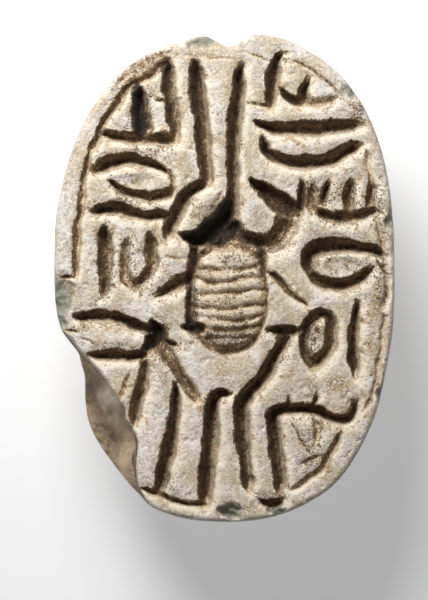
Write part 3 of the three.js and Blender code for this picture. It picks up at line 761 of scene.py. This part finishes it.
# One closed skin: the face, its rim's rows thinned to half as many points, the side rows and the back.
def buildSkin():
    face = sealFace()
    rim = gridRim(*gridCells)
    u, v = discGrid(*gridCells)
    turn = np.arctan2(v[rim], u[rim])[::2]
    rows = sideRows(turn, face[rim][::2])
    start, count = len(face), len(turn)
    k = np.arange(count)
    following = (k + 1) % count
    upper = [rim[(2 * k + ahead) % (2 * count)] for ahead in range(3)]
    lower = [start + k, start + following]
    triangles = [(upper[0], lower[0], upper[1]), (upper[1], lower[0], lower[1]),
                 (upper[1], lower[1], upper[2])]
    quads = [gridFaces(*gridCells)]
    for number in range(len(rows) - 1):
        a = start + number * count
        quads.append(np.stack([a + k, a + count + k, a + count + following, a + following], axis=1))
    last = start + (len(rows) - 1) * count
    backStart = last + count
    seam = backStart + gridRim(*backCells)
    quads.append(np.stack([last + k, seam[k], seam[following], last + following], axis=1))
    quads.append(gridFaces(*backCells, backStart, False))
    points = np.vstack([face] + rows + [beetleBack()])
    return points, np.vstack(quads), np.vstack([np.stack(kind, axis=1) for kind in triangles])


# An object in the scene for a mesh, lamp or camera.
def makeObject(name, data):
    made = bpy.data.objects.new(name, data)
    bpy.context.scene.collection.objects.link(made)
    return made


# A mesh object in the scene from points in millimetres.
def makeMesh(name, points, faces):
    mesh = bpy.data.meshes.new(name)
    mesh.from_pydata((points * mm).tolist(), [], faces)
    mesh.update()
    return makeObject(name, mesh)


# The threading hole's cutting tube: a round profile along y, wider by a cubic step towards both ends.
def threadTube():
    end = halfLength + threadHole["endRoom"]
    sides, rings = threadHole["sides"], threadHole["rings"]
    along, turn = np.meshgrid(np.linspace(-end, end, rings), np.arange(sides) / sides * 2 * math.pi,
                              indexing="ij")
    mouth = step(np.abs(along), halfLength - threadHole["flareRun"], halfLength)
    radius = threadHole["radius"] + threadHole["flare"] * mouth
    points = np.stack([radius * np.cos(turn), along, threadHole["level"] + radius * np.sin(turn)], axis=-1)
    points = points.reshape(-1, 3)
    points[:, 0::2] += fieldAt(points, "hole")[:, None]
    k = np.arange(sides)
    following = (k + 1) % sides
    faces = []
    for ring in range(rings - 1):
        a = ring * sides
        faces += np.stack([a + k, a + sides + k, a + sides + following, a + following], axis=1).tolist()
    faces.append(k.tolist())
    faces.append(((rings - 1) * sides + k[::-1]).tolist())
    return makeMesh("threadTube", points, faces)


# Cuts the tube out of the seal with a Boolean modifier and keeps the result as the seal's own mesh.
def boreSeal(piece, tube):
    modifier = piece.modifiers.new("threadHole", "BOOLEAN")
    modifier.object = tube
    modifier.operation = "DIFFERENCE"
    modifier.solver = "MANIFOLD"
    graph = bpy.context.evaluated_depsgraph_get()
    bored = bpy.data.meshes.new_from_object(piece.evaluated_get(graph))
    piece.modifiers.clear()
    plain = piece.data
    piece.data = bored
    bored.name = "scarabSeal"
    bpy.data.meshes.remove(plain)
    bpy.data.objects.remove(tube)


# Ranges over which the material's layers set in. Levels above the rest, depths below the face.
paint = {
    "topDepth": (1.3, 1.1),
    "brokenEdge": (-0.03, 0.1),
    "brokenLevel": (4.4, 4.65),
    "soilFloor": (0.0, 0.2),
    "bareFloor": (0.3, 0.6),
    "darkEdge": (0.06, 0.3),
    "chipLevel": (6.0, 6.6),
    "chipDepth": (0.05, 0.16),
}


# What the material reads at each point: the carving's walls, moved to the lower right as painted highlight,
# soil with painted shade against the upper left walls, bare floors, peppered soil with painted shade on the
# left lobe, tan stone, the fracture with its ledge and dark upper edge, and the chips.
def paintSeal(piece):
    mesh = piece.data
    place = np.zeros(len(mesh.vertices) * 3)
    mesh.vertices.foreach_get("co", place)
    place = place.reshape(-1, 3) / mm
    x, y, z = place.T
    onTop = step(z, *[sealHeight - depth for depth in paint["topDepth"]])
    rough = fieldAt(place, "paintEdge")
    beyond = outsideBreak(x, y) + rough * (1 - onTop)
    broken = step(beyond, *paint["brokenEdge"]) * step(z + rough, *paint["brokenLevel"])
    intact = onTop * (1 - broken)
    ownFloor = faceCarving(x, y)[1]
    # Soil worked out with the grooves moved to the upper left, so that it lies on the walls in the key
    # light's shadow: painted shade over real soil.
    shadeSideSoil = faceCarving(x, y, carving["shadeLean"])[1]
    # Walls worked out moved to the lower right, so that their bare cream and tan show as painted highlight
    # where the key light falls.
    wallX, wallY = carving["highlightShift"]
    chipped = spotsShare(x + rough, y + rough, [(*oval, 1.0) for *oval, depth in chips])
    chipped *= step(z, *paint["chipLevel"]) * step(sealHeight - z, *paint["chipDepth"])
    layers = {
        "wall": faceCarving(x - wallX, y - wallY)[2] * intact,
        "soilAndShade": shadeSideSoil * step(ownFloor, *paint["soilFloor"]) * intact,
        "bareFloor": step(ownFloor, *paint["bareFloor"]) * intact,
        "grimeAndShade": spotsShare(x + rough, y + rough, grimeAndShadeSpots) * intact,
        "tan": spotsShare(x + rough, y + rough, tanSpots) * intact,
        "fracture": broken,
        "ledge": broken * spotShare(x + rough, y + rough, *breakage["ledge"]),
        "fractureEdge": broken * (1 - step(beyond, *paint["darkEdge"])),
        "chip": chipped,
    }
    for name, values in layers.items():
        layer = mesh.attributes.new(name, "FLOAT", "POINT")
        layer.data.foreach_set("value", values.astype(np.float32))
    return list(layers)


# Linear colour of an sRGB hex value, by the sRGB curve.
def hexColour(code):
    values = [int(code[k:k + 2], 16) / 255 for k in (1, 3, 5)]
    return tuple(v / 12.92 if v <= 0.04045 else ((v + 0.055) / 1.055) ** 2.4 for v in values) + (1.0,)


# Sets a node's inputs, and links those that come from another node's socket.
def fillInputs(node, inputs):
    for name, value in inputs.items():
        if isinstance(value, bpy.types.NodeSocket):
            node.id_data.links.new(value, node.inputs[name])
        else:
            node.inputs[name].default_value = value


# Adds a node with its settings and inputs.
def addNode(tree, kind, inputs={}, **settings):
    node = tree.nodes.new("ShaderNode" + kind)
    for name, value in settings.items():
        setattr(node, name, value)
    fillInputs(node, inputs)
    return node


# Fired steatite that has lost its glaze: a chalky warm grey, mottled and peppered with soil, tan to cream
# along its cut walls with painted highlight on the lower right ones, with dark soil in the grooves that also
# paints shade on their upper left walls and deepest floors, and a browner, rougher fracture. Sizes are in mm.
steatiteLook = {
    "worn": "#cbbb9e",
    "pale": "#e8e1da",
    "grey": "#a59b8c",
    "tan": "#b5966a",
    "cream": "#f1e4cc",
    "soilAndShade": "#463b31",
    "paleSoilAndShade": "#846a4c",
    # darkest soil, painted shade in the deepest floors
    "deepSoilAndShade": "#2a241e",
    "fracture": "#d0bb9e",
    "fractureDark": "#998979",
    "fractureEdge": "#5a5145",
    "chip": "#808477",
    "speck": "#4a3c2e",
    "dustAndShade": "#98846a",
    "mottle": 1.1,  # across a cloud of the mottling
    "stain": 2.42,
    "patch": 0.45,
    "grain": 0.12,
    "fleck": 0.065,
    "bump": 0.05,
    "fleckBump": 0.5,  # the flecks' share in it
    "tanSpots": 0.8,
    "ledgeCream": 0.75,
    "pepperGrimeAndShade": 0.18,
    "pepperWall": 0.12,
    "index": 1.5,
    "gloss": 0.35,
    "smooth": 0.58,  # roughness of bare stone
    "rough": 0.92,  # and of soil and fracture
}


# The stone's material, which reads the painted layers: plain stone first, then cut walls with their painted
# highlight and floors, dust with painted shade in places, chips, the fracture, pepper, and the soil with its
# painted shade over all of it.
def firedSteatite(layerNames):
    look = steatiteLook
    material = bpy.data.materials.new("firedSteatite")
    material.use_nodes = True
    tree = material.node_tree
    shader = tree.nodes["Principled BSDF"]
    place = addNode(tree, "TexCoord").outputs["Object"]
    layer = {name: addNode(tree, "Attribute", attribute_name=name).outputs["Fac"] for name in layerNames}

    def noiseOf(size, seed, detail=3.0, distortion=0.0, roughness=0.6):
        inputs = {"Vector": place, "W": seed, "Scale": 1 / (size * mm), "Detail": detail,
                  "Roughness": roughness, "Distortion": distortion}
        return addNode(tree, "TexNoise", inputs, noise_dimensions="4D").outputs["Fac"]

    # Carries a value from the range low to high over to another range by a cubic step.
    def ranged(value, low, high, toLow=0.0, toHigh=1.0):
        inputs = {"Value": value, "From Min": low, "From Max": high, "To Min": toLow, "To Max": toHigh}
        return addNode(tree, "MapRange", inputs, interpolation_type="SMOOTHSTEP").outputs["Result"]

    # Colours come as a name of the look or from a node; 0, 6 and 7 are the node's share and its colours.
    def mixed(share, *colours):
        first, second = [hexColour(look[one]) if isinstance(one, str) else one for one in colours]
        return addNode(tree, "Mix", {0: share, 6: first, 7: second}, data_type="RGBA").outputs[2]

    def maths(operation, first, *others):
        for other in others:
            first = addNode(tree, "Math", {0: first, 1: other}, operation=operation).outputs[0]
        return first

    clouds = noiseOf(look["mottle"], 1.0, 4.0, 0.3)
    stains = noiseOf(look["stain"], 2.0, 5.0, 0.6)
    patches = noiseOf(look["patch"], 3.0, 4.0, 0.8)
    grain = noiseOf(look["grain"], 4.0, 3.0, 0.0, 0.7)
    flecks = noiseOf(look["fleck"], 5.0, 1.0)
    specks = noiseOf(look["fleck"], 6.0, 1.0)

    colour = mixed(ranged(clouds, 0.4, 0.62), "worn", "pale")
    colour = mixed(ranged(stains, 0.5, 0.66, 0.0, 0.6), colour, "grey")
    tanSpots = maths("MULTIPLY", layer["tan"], look["tanSpots"])
    colour = mixed(maths("ADD", ranged(patches, 0.5, 0.64, 0.0, 0.55), tanSpots), colour, "tan")
    colour = mixed(ranged(grain, 0.38, 0.52, 0.75, 0.0), colour, "grey")

    # Cut walls in cream and tan, only on the walls moved to the lower right: partly the cut stone's own paler
    # tone, partly painted highlight.
    wallHighlightColour = mixed(ranged(patches, 0.48, 0.66), "cream", "tan")
    wallHighlight = ranged(layer["wall"], 0.12, 0.6, 0.0, 0.9)
    colour = mixed(maths("MULTIPLY", wallHighlight, ranged(patches, 0.3, 0.5, 0.35, 1.0)), colour, wallHighlightColour)
    floorColour = mixed(ranged(grain, 0.36, 0.62, 0.0, 0.5), "tan", "cream")
    bareFloor = maths("MULTIPLY", layer["bareFloor"], ranged(patches, 0.3, 0.5, 0.75, 1.0))
    colour = mixed(bareFloor, colour, floorColour)

    # Dust where the grime layer is strong; near the left lobe it is painted shade.
    dustAndShade = maths("ADD", layer["grimeAndShade"], ranged(patches, 0.3, 0.7, -0.6, 0.4))
    colour = mixed(ranged(dustAndShade, 0.3, 1.0, 0.0, 0.7), colour, "dustAndShade")
    colour = mixed(ranged(flecks, 0.52, 0.66, 0.0, 0.85), colour, "pale")
    colour = mixed(layer["chip"], colour, mixed(ranged(grain, 0.4, 0.6, 0.0, 0.5), "chip", "grey"))

    broken = mixed(ranged(stains, 0.42, 0.6), "fracture", "fractureDark")
    broken = mixed(ranged(grain, 0.42, 0.6, 0.0, 0.5), broken, "tan")
    edge = maths("ADD", layer["fractureEdge"], ranged(patches, 0.3, 0.7, -0.4, 0.3))
    broken = mixed(ranged(edge, 0.5, 0.95), broken, "fractureEdge")
    broken = mixed(maths("MULTIPLY", layer["ledge"], look["ledgeCream"]), broken, "cream")
    colour = mixed(ranged(layer["fracture"], 0.2, 0.7), colour, broken)

    pepper = maths("ADD", specks, maths("MULTIPLY", layer["grimeAndShade"], look["pepperGrimeAndShade"]),
                   ranged(patches, 0.4, 0.7, -0.05, 0.05), ranged(stains, 0.4, 0.65, -0.06, 0.03),
                   maths("MULTIPLY", layer["wall"], look["pepperWall"]))
    colour = mixed(ranged(pepper, 0.66, 0.74, 0.0, 0.85), colour, "speck")

    # Soil in the grooves, lying against their upper left walls and darker in the deepest floors: real soil,
    # with painted shade where the key light's shadow falls.
    soilAndShadeEdge = maths("ADD", layer["soilAndShade"], ranged(grain, 0.3, 0.7, -0.2, 0.2),
                     ranged(patches, 0.3, 0.7, -0.2, 0.2), ranged(specks, 0.35, 0.65, -0.16, 0.16))
    soilAndShadeShare = ranged(soilAndShadeEdge, 0.42, 0.66)
    soilAndShade = mixed(ranged(soilAndShadeEdge, 0.55, 1.2), "paleSoilAndShade", "soilAndShade")
    soilAndShade = mixed(ranged(soilAndShadeEdge, 1.1, 1.5), soilAndShade, "deepSoilAndShade")
    colour = mixed(soilAndShadeShare, colour, soilAndShade)

    bumpHeight = maths("ADD", grain, maths("MULTIPLY", flecks, look["fleckBump"]))
    bumpInputs = {"Height": bumpHeight, "Strength": 1.0, "Distance": look["bump"] * mm}
    normal = addNode(tree, "Bump", bumpInputs).outputs["Normal"]
    rough = maths("MAXIMUM", soilAndShadeShare, layer["fracture"])
    roughness = ranged(rough, 0.0, 1.0, look["smooth"], look["rough"])
    fillInputs(shader, {"Base Color": colour, "Roughness": roughness, "Normal": normal,
                        "IOR": look["index"], "Specular IOR Level": look["gloss"]})
    return material


# Soft studio light: a near key from the upper left that fades across the seal, a weak fill, a dim surround,
# and a glowing table. Angles in degrees, power in watts.
lights = {
    "key": {"azimuth": 111.0, "elevation": 50.0, "distance": 66.0, "size": 34.0, "power": 0.0485},
    "fill": {"azimuth": -30.0, "elevation": 60.0, "distance": 300.0, "size": 200.0, "power": 0.06},
    "surround": ("#ece6da", 0.1),
    "table": ("#dcdcdc", 0.9),  # colour and roughness
    "tableGlow": ("#f4f6fa", 0.34),
    "tableReach": 1200.0,
}


# Pale light table under the seal: matt and faintly glowing, so that shadows on it stay light.
def lightTable():
    colour, roughness = lights["table"]
    glow, strength = lights["tableGlow"]
    material = bpy.data.materials.new("lightTable")
    material.use_nodes = True
    fillInputs(material.node_tree.nodes["Principled BSDF"], {
        "Base Color": hexColour(colour), "Roughness": roughness,
        "Emission Color": hexColour(glow), "Emission Strength": strength})
    return material


# The table's top, a flat square at the level of the rest.
def makeFloor():
    reach = lights["tableReach"]
    points = np.array([(-reach, -reach, 0), (reach, -reach, 0), (reach, reach, 0), (-reach, reach, 0)])
    floor = makeMesh("floor", points, [(0, 1, 2, 3)])
    floor.data.materials.append(lightTable())


# Camera straight above, so placed that the seal face fills the same part of the 428 x 600 picture.
view = {
    "pixelsPerMm": 27.05,
    "pictureHeight": 600,
    "middlePixel": (214.0, 300.0),
    "facePixel": (224.5, 279.0),  # where the middle of the seal face lies in the picture
    "lens": 150.0,
    "sensor": 36.0,
    "clipMetres": (0.005, 5.0),
}


# The camera's distance above the face is the height it sees there times lens over sensor.
def makeCamera():
    camera = bpy.data.cameras.new("camera")
    camera.lens = view["lens"]
    camera.sensor_width = view["sensor"]
    camera.sensor_fit = "AUTO"
    seen = view["pictureHeight"] / view["pixelsPerMm"]
    distance = seen * view["lens"] / view["sensor"]
    shiftX = (view["middlePixel"][0] - view["facePixel"][0]) / view["pixelsPerMm"]
    shiftY = (view["facePixel"][1] - view["middlePixel"][1]) / view["pixelsPerMm"]
    holder = makeObject("camera", camera)
    holder.location = [shiftX * mm, shiftY * mm, (sealHeight + distance) * mm]
    camera.clip_start, camera.clip_end = view["clipMetres"]
    bpy.context.scene.camera = holder


# A round area lamp at an azimuth and elevation seen from the seal, turned to face it.
def makeLight(name, azimuth, elevation, distance, size, power):
    lamp = bpy.data.lights.new(name, "AREA")
    lamp.shape = "DISK"
    lamp.size = size * mm
    lamp.energy = power
    holder = makeObject(name, lamp)
    a, e = math.radians(azimuth), math.radians(elevation)
    way = np.array([math.cos(a) * math.cos(e), math.sin(a) * math.cos(e), math.sin(e)])
    holder.location = (way * distance * mm).tolist()
    holder.rotation_euler = (0, math.pi / 2 - e, a)


# The dim surround, and plain display of the colours.
def makeWorld():
    colour, strength = lights["surround"]
    world = bpy.data.worlds.new("surround")
    world.use_nodes = True
    fillInputs(world.node_tree.nodes["Background"], {"Color": hexColour(colour), "Strength": strength})
    bpy.context.scene.world = world
    bpy.context.scene.view_settings.view_transform = "Standard"


points, quads, triangles = buildSkin()
seal = makeMesh("carvedSeal", points, quads.tolist() + triangles.tolist())
print("skin: %d points" % len(points))
boreSeal(seal, threadTube())
seal.data.shade_smooth()
layerNames = paintSeal(seal)
seal.data.materials.clear()
seal.data.materials.append(firedSteatite(layerNames))
print("seal: %d points after the hole" % len(seal.data.vertices))
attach(seal, "root")
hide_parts("scarab_seal")

makeFloor()
makeCamera()
for name in ("key", "fill"):
    makeLight(name, **lights[name])
makeWorld()
print("stage, camera and lights in place")
